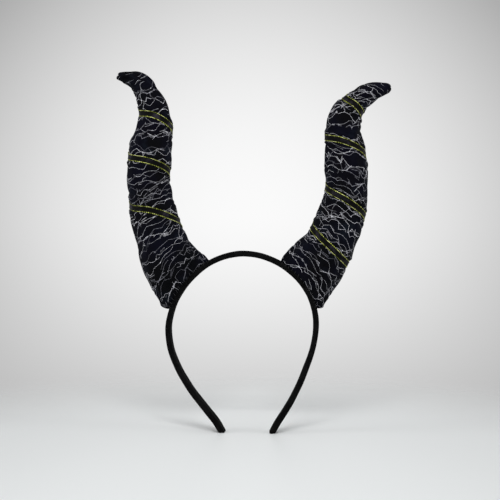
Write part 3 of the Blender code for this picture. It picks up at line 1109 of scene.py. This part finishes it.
def outwardNormals(points):
    # cross product of the two directions of a grid that is closed round its columns
    alongRows = np.gradient(points, axis=0)
    roundColumns = np.roll(points, -1, axis=1) - np.roll(points, 1, axis=1)
    normals = unit(np.cross(roundColumns, alongRows))
    middle = points.mean(axis=1, keepdims=True)
    return normals * np.sign(np.einsum("ijk,ijk->ij", normals, points - middle).mean())


stuffing = {
    "every": 4,  # the simulated skin takes every fourth point each way
    "frames": 20,
    "start": 0.5,  # mm that it starts inside the form
    "cap": 1.3,  # mm that a point may move
    "besideRibbon": 3.0,  # mm from the ribbon's middle that the cloth is held
    "settings": {
        "quality": 6,
        "mass": 0.1,
        "tension_stiffness": 12.0,
        "compression_stiffness": 12.0,
        "shear_stiffness": 6.0,
        "bending_stiffness": 0.4,
        "shrink_min": -0.045,  # the cloth is cut this much larger than the form, so it buckles
        "use_pressure": True,
        "uniform_pressure_force": 4.0,
    },
}


def stuffedCloth(name, points, normals, held):
    # A coarse copy of the skin is filled with pressure while its seam, its tip and the lines under
    # the ribbon are held. Returns how far each point of that copy moves.
    rows, columns = held.shape
    start = points - normals * stuffing["start"] * mm * (1 - held)[..., None]
    middle = start.mean(axis=1)
    allPoints = np.concatenate([start.reshape(-1, 3), middle[[0, -1]]])
    count = rows * columns
    faces = gridFaces(rows, columns).tolist()
    j = np.arange(columns)
    faces += np.stack([(j + 1) % columns, j, np.full(columns, count)], axis=1).tolist()
    faces += np.stack([j, (j + 1) % columns, np.full(columns, count + 1)], axis=1).tolist()
    faces[-columns:] = [[a + count - columns, b + count - columns, c] for a, b, c in faces[-columns:]]
    form, _ = addMesh(name + "_stuffing", allPoints, faces)
    pins = form.vertex_groups.new(name="held")
    pins.add(np.flatnonzero(np.append(held.ravel(), [1.0, 1.0]) > 0.5).tolist(), 1.0, "REPLACE")
    modifier = form.modifiers.new("stuffing", "CLOTH")
    settings = modifier.settings
    for label, value in stuffing["settings"].items():
        setattr(settings, label, value)
    settings.vertex_group_mass = "held"
    settings.effector_weights.gravity = 0.0
    modifier.collision_settings.use_collision = False
    modifier.point_cache.frame_start = 1
    modifier.point_cache.frame_end = stuffing["frames"]
    for step in range(1, stuffing["frames"] + 1):
        scene.frame_set(step)
    settled = form.evaluated_get(bpy.context.evaluated_depsgraph_get()).to_mesh()
    moved = np.empty(len(settled.vertices) * 3)
    settled.vertices.foreach_get("co", moved)
    bpy.data.objects.remove(form)
    scene.frame_set(1)
    step = moved.reshape(-1, 3)[:count].reshape(rows, columns, 3) - points
    reach = np.linalg.norm(step, axis=-1, keepdims=True)
    cap = stuffing["cap"] * mm
    print("  stuffed, moves up to", round(float(reach.max()) / mm, 2), "mm, capped at", stuffing["cap"])
    return step * np.minimum(1.0, cap / np.maximum(reach, 1e-9))


def refine(coarse, rowPlaces, rows, columns):
    # a coarse grid's values at every point of the fine one: linear both ways, then softened
    every = stuffing["every"]
    at = np.interp(np.arange(rows), rowPlaces, np.arange(len(rowPlaces)))
    low = np.minimum(at.astype(int), len(rowPlaces) - 2)
    share = (at - low)[:, None, None]
    byRow = coarse[low] * (1 - share) + coarse[low + 1] * share
    ring = np.arange(columns) / every
    left = ring.astype(int)
    share = (ring - left)[None, :, None]
    right = (left + 1) % byRow.shape[1]
    fine = byRow[:, left] * (1 - share) + byRow[:, right] * share
    for _ in range(3):
        fine = (np.roll(fine, 1, axis=1) + 2 * fine + np.roll(fine, -1, axis=1)) / 4
        fine[1:-1] = (fine[:-2] + 2 * fine[1:-1] + fine[2:]) / 4
    return fine


def makeHorn(horn, material):
    smooth, runs, turn, length, skirtLength = hornGrid(horn)
    runGrid, turnGrid = np.meshgrid(runs, turn, indexing="ij")
    relief = skinRelief(horn, runGrid, turnGrid, length, skirtLength)
    points = smooth + outwardNormals(smooth) * relief[..., None]
    columns = skin["columns"]
    every = stuffing["every"]
    picked = np.unique(np.append(np.arange(0, len(runs), every), len(runs) - 1))
    part = np.ix_(picked, np.arange(0, columns, every))
    gap, inside = ribbonDistance(horn, runGrid[part], turnGrid[part])
    held = ((np.abs(gap) < stuffing["besideRibbon"] * mm) & (inside > 0.5)).astype(float)
    held[runs[picked] < -0.5 * skirtLength] = 1.0
    held[runs[picked] > length - 1 * mm] = 1.0
    normals = outwardNormals(smooth)[part]
    step = stuffedCloth(horn["name"], points[part], normals, held)
    # keep the wrinkles, and take out the mean swelling or shrinking of the free cloth
    free = 1 - held
    drift = (np.einsum("ijk,ijk->ij", step, normals) * free).sum() / free.sum()
    print("  mean drift taken out:", round(drift / mm, 2), "mm")
    step = step - normals * (drift * free)[..., None]
    points = points + refine(step, picked, len(runs), columns) * tipFade(runs, length)[:, None, None]
    flat = np.linspace(-0.5, 0.5, columns + 1)[None, :] * hornGirth(horn, runs)[:, None] / mm
    along = np.broadcast_to(runs[:, None] / mm, flat.shape)
    lines = jaggedLines(horn, flat.max() * 2, length / mm)
    offset, ink = printOnCloth(flat, along, lines)
    uv = gridUv(flat / cloth["flatSize"] + 0.5, along / cloth["flatSize"] + 0.02)
    last = points.shape[0] * columns
    allPoints = np.concatenate([points.reshape(-1, 3), [tipPoint(horn)]])
    fan = [(last - columns + j, last - columns + (j + 1) % columns, last) for j in range(columns)]
    lid = []
    for j in range(columns // 4, 3 * columns // 4):
        back, nextBack = (columns // 2 - j) % columns, (columns // 2 - j - 1) % columns
        lid.append(tuple(dict.fromkeys((j + 1, j, back, nextBack))))
    quads = gridFaces(points.shape[0], columns)
    values = {
        "inkOffset": np.append(offset[:, :-1].reshape(-1, 3), [[printing["reach"]] * 3], axis=0),
        "ink": np.append(ink[:, :-1].reshape(-1, 3), [[0.0, 0.0, 0.0]], axis=0),
    }
    name = horn["name"] + "_horn_cloth"
    solid = "horn_" + horn["name"]
    piece = makePiece(name, allPoints, quads, material, solid, fan + lid, uv, values)
    print("  print:", len(lines), "lines")


printed = printedCloth(cloth)
makeHorn(hornLeft, printed)
makeHorn(hornRight, printed)


# Ribbon: narrow black satin with a metallic thread along each edge, wound tight

ribbon = {
    "width": 5.2,
    "thick": 0.36,
    "sunk": 0.28,  # its underside lies this far below the smooth form of the horn
    "edgeRadius": 0.33,
    "edgeRise": 0.04,  # of the cord's middle above the satin's
    "hollow": 0.05,
    "points": 9,  # of a section's upper side and of each edge
    "steps": 760,
    "tuckLength": 5.0,
    "tuckDepth": 0.5,
    "sway": 0.10,
    "satin": {
        "satinDark": (0.0012, 0.0012, 0.0014),
        # colour of the painted sheen on the satin
        "satinPaintedSheen": (0.026, 0.023, 0.034),
        "olive": (0.009, 0.011, 0.002),
        "threadDark": (0.11, 0.13, 0.01),
        "threadLight": (0.62, 0.67, 0.14),
        "threadPale": (0.78, 0.79, 0.42),
        "twistPitch": 1.7,  # mm
        "threadEdge": (0.76, 0.80),  # share of the half width
        "worn": (0.003, 2.0),
        # size, detail and range of the painted sheen's blotches
        "sheen": (0.008, 2.0, 0.48, 0.72),
        "floats": 62.0,  # radians of the satin's floats over half the width
        "bump": (0.12, 0.8),
        "shader": {"Specular IOR Level": 0.06},
    },
}


def ribbonSection():
    # Across (-1 to 1 of the half width) and height in mm: flat satin, a round cord at each edge.
    half = ribbon["width"] / 2
    r = ribbon["edgeRadius"]
    share = np.linspace(-1.0, 1.0, ribbon["points"])
    top = np.stack([share * (half - 2 * r), ribbon["thick"] - ribbon["hollow"] * (1 - share**2)], axis=1)
    a = np.radians(np.linspace(150, -150, ribbon["points"]))
    middle = ribbon["thick"] / 2 + ribbon["edgeRise"]
    rightEdge = np.stack([half - r + r * np.cos(a), middle + r * np.sin(a)], axis=1)
    under = np.stack([np.linspace(half - 2 * r, -half + 2 * r, 5), np.zeros(5)], axis=1)
    leftEdge = rightEdge[::-1] * [-1, 1]
    return np.concatenate([top, rightEdge, under, leftEdge])


def makeRibbon(horn, material):
    # Middle line: the winding on the horn's smooth form. A point aside of it moves on the form by
    # the (run, turn) step that solves step·(byRun, byTurn) = sideways; heights go along the normal.
    _, first, last = ribbonRun(horn, np.zeros(1))
    angle = np.linspace(first, last, ribbon["steps"])
    run = ribbonRun(horn, angle)[0]
    nudge, step = 0.01, 0.2 * mm
    here = hornSection(horn, run, angle)
    byTurn = (hornSection(horn, run, angle + nudge) - here) / nudge
    byRun = (hornSection(horn, run + step, angle) - here) / step
    slope = np.gradient(run, angle)
    along = unit(byTurn + byRun * slope[:, None])
    places, table = hornTable(horn)
    middle = through(places, table, run)
    away = here - np.stack([middle[:, 0], np.zeros(len(run)), middle[:, 1]], axis=-1)
    out = unit(np.cross(byRun, byTurn))
    out *= np.sign(np.einsum("ij,ij->i", out, away))[:, None]
    sideways = unit(np.cross(out, along))
    rr, rt, tt = (np.einsum("ij,ij->i", a, b) for a, b in ((byRun, byRun), (byRun, byTurn), (byTurn, byTurn)))
    ra, ta = (np.einsum("ij,ij->i", a, sideways) for a in (byRun, byTurn))
    even = rr * tt - rt**2
    runStep, turnStep = (tt * ra - rt * ta) / even, (rr * ta - rt * ra) / even
    section = ribbonSection() * mm
    aside = section[None, :, 0]
    runs = run[:, None] + runStep[:, None] * aside
    turns = angle[:, None] + turnStep[:, None] * aside
    base = hornSection(horn, runs, turns)
    length = distances(here)
    random = np.random.default_rng(horn["seed"] + 7)
    sway = sum(np.sin(length / (w * mm) + random.uniform(0, 6)) for w in (4.1, 6.7, 11.0)) / 3
    tuck = smoothStep(0, ribbon["tuckLength"] * mm, np.minimum(length, length[-1] - length))
    across = aside / (ribbon["width"] / 2 * mm)
    lift = (section[None, :, 1] - ribbon["sunk"] * mm) + ribbon["sway"] * mm * sway[:, None] * across
    lift = lift - ribbon["tuckDepth"] * mm * (1 - tuck[:, None])
    points = base + out[:, None, :] * lift[..., None]
    quads, ends = tubeFaces(len(angle), len(section))
    values = {
        "ribbonAcross": np.broadcast_to(across, points.shape[:2]),
        "ribbonAlong": np.broadcast_to(length[:, None] / mm, points.shape[:2]),
    }
    uv = stripUv(length, len(section), 0.02)
    name = horn["name"] + "_horn_ribbon"
    makePiece(name, points, quads, material, "ribbon_" + horn["name"], ends, uv, values)


satin = satinRibbon(ribbon["satin"])
makeRibbon(hornLeft, satin)
makeRibbon(hornRight, satin)


# Stitches: whip stitches over each base seam, a ladder stitch up the back

stitch = {
    "thread": 0.2,  # radius, mm
    "points": 9,
    "bite": 0.32,  # how far up the skirt a whip stitch reaches
    "whipPitch": 3.3,
    "whipEnds": 0.93,  # cosine of the turn at which a row of them begins and ends
    "whipUneven": 0.012,
    "whipStart": -1.3,  # above the band's outer edge
    "whipLean": 0.05,
    "whipLoop": 0.6,
    "ladderEnds": (3.0, 4.0),  # free of stitches at the base and at the tip
    "ladderFree": 3.4,  # and beside the ribbon's middle
    "ladderHalf": 1.0,
    "ladderSlant": 0.7,
    "ladderSunk": 0.25,
    "ladderLoop": 0.15,
    "look": {
        "plyPitch": 0.9,
        "dark": (0.004, 0.004, 0.005),
        "light": (0.020, 0.020, 0.024),
        "bump": (0.06, 0.7),
        "shader": {"Specular IOR Level": 0.4},
    },
}


def bezier(start, bend, end, count):
    # (1-t)²·start + 2t(1-t)·bend + t²·end
    t = np.linspace(0.0, 1.0, count)[None, :, None]
    return (1 - t) ** 2 * start[:, None] + 2 * t * (1 - t) * bend[:, None] + t**2 * end[:, None]


def whipStitches(horn):
    # each loop starts on the band's face, leans sideways and goes into the rolled edge of the cloth
    inner, outer = (nearestRun(point) for point in horn["seam"])
    count = int(abs(outer - inner) / (stitch["whipPitch"] * mm))
    random = np.random.default_rng(horn["seed"] + 40)
    paths = []
    for facing in (1, -1):
        turn = facing * np.arccos(np.linspace(stitch["whipEnds"], -stitch["whipEnds"], count))
        turn = turn + random.normal(0, stitch["whipUneven"], count)
        seam = seamRing(horn, turn, lift=stitch["whipStart"] * mm)
        seam[:, 1] = -facing * (band["depth"] / 2 + 0.05) * mm
        edge = skirt(horn, np.full(count, stitch["bite"]), turn + stitch["whipLean"])
        edge[:, 1] -= facing * 0.1 * mm
        bend = (seam + edge) / 2 - [0.0, facing * stitch["whipLoop"] * mm, 0.0]
        paths.append(bezier(seam, bend, edge, stitch["points"]))
    return np.concatenate(paths)


def ladderStitches(horn):
    # short bars across the valley of the back seam, and one short step along it
    places, _ = hornTable(horn)
    first, last = stitch["ladderEnds"]
    run = np.arange(first * mm, places[-1] - last * mm, skin["ladderPitch"] * mm)
    gap, _ = ribbonDistance(horn, run, np.full(len(run), backTurn))
    run = run[np.abs(gap) > stitch["ladderFree"] * mm]
    radius = hornGirth(horn, run) / (2 * np.pi)
    spread = stitch["ladderHalf"] * mm / radius
    start = hornSection(horn, run, backTurn - spread)
    end = hornSection(horn, run + stitch["ladderSlant"] * mm, backTurn + spread)
    out = unit((start + end) / 2 - hornSection(horn, run, np.full(len(run), -backTurn)))
    bend = (start + end) / 2 + out * stitch["ladderLoop"] * mm
    sunk = out * stitch["ladderSunk"] * mm
    return bezier(start - sunk, bend, end - sunk, stitch["points"])


def makeStitches(horn, material):
    paths = np.concatenate([whipStitches(horn), ladderStitches(horn)])
    points, faces, caps, along = tubesAlong(paths, stitch["thread"] * mm, 6)
    name = horn["name"] + "_horn_stitches"
    makePiece(name, points, faces, material, None, caps, None, {"threadAlong": along})


thread = sewingThread(stitch["look"])
makeStitches(hornLeft, thread)
makeStitches(hornRight, thread)
